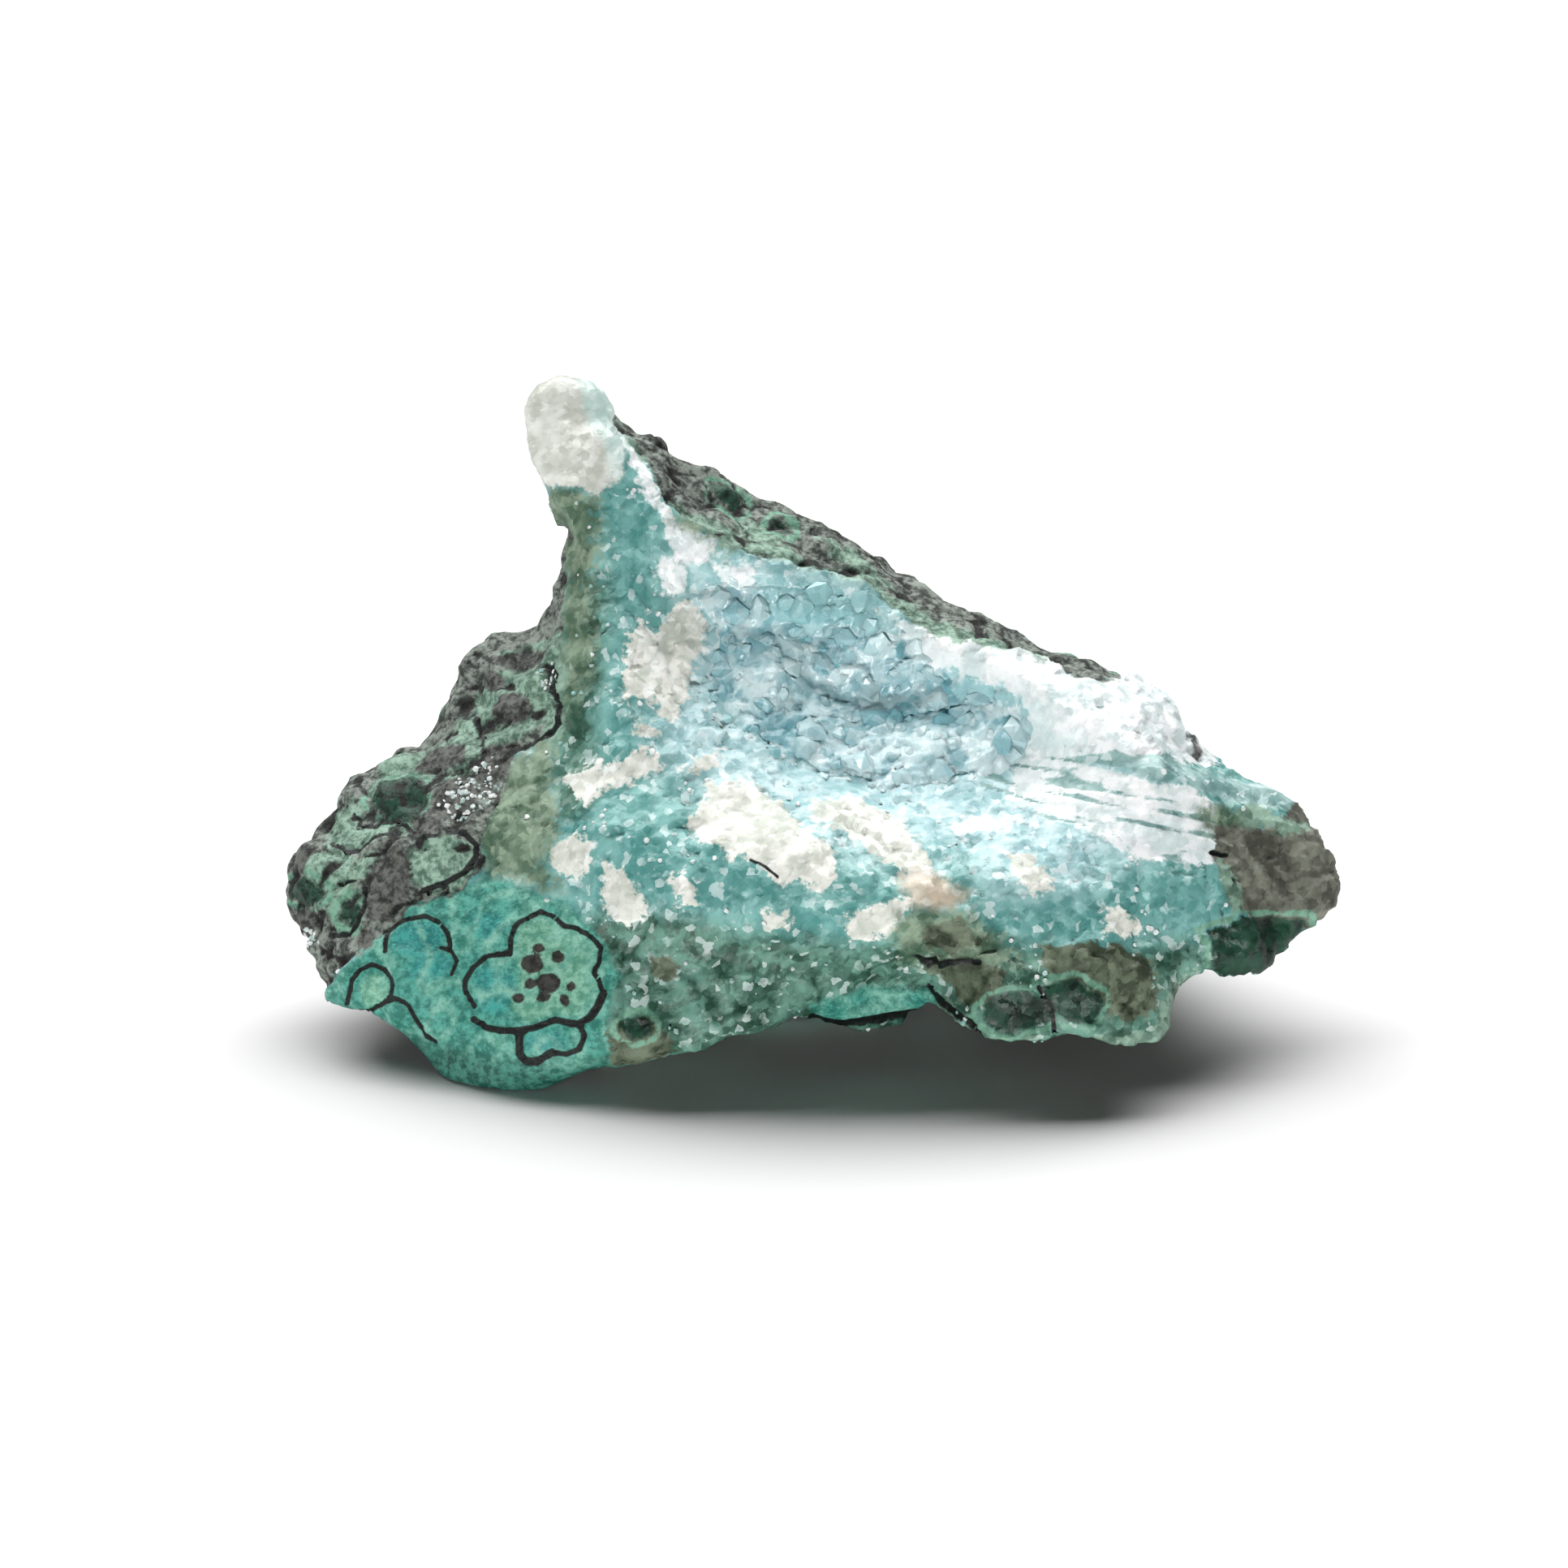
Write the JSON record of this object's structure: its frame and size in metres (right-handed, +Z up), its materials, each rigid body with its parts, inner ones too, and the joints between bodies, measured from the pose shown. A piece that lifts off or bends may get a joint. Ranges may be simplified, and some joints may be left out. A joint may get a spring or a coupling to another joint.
{
  "type": "raw gem silica",
  "caption": "rough lump of blue-green chalcedony with a pointed spur, a dark lumpy rind and a shallow hollow lined with drusy quartz, a mineral specimen that rests on a flat underside",
  "frame": {"origin": "under the middle of the lump's box, on the flat that it rests on", "axes": "+X along the lump's length to its right-hand point, +Y away from the hollow, +Z up"},
  "size_m": [0.0558, 0.0308, 0.0315],
  "materials": {
    "gem_silica": "broken, satin",
    "drusy_quartz": "glassy"
  },
  "bodies": {
    "root": {"stone": "gem_silica", "druse_crust": "drusy_quartz"}
  },
  "joints": []
}
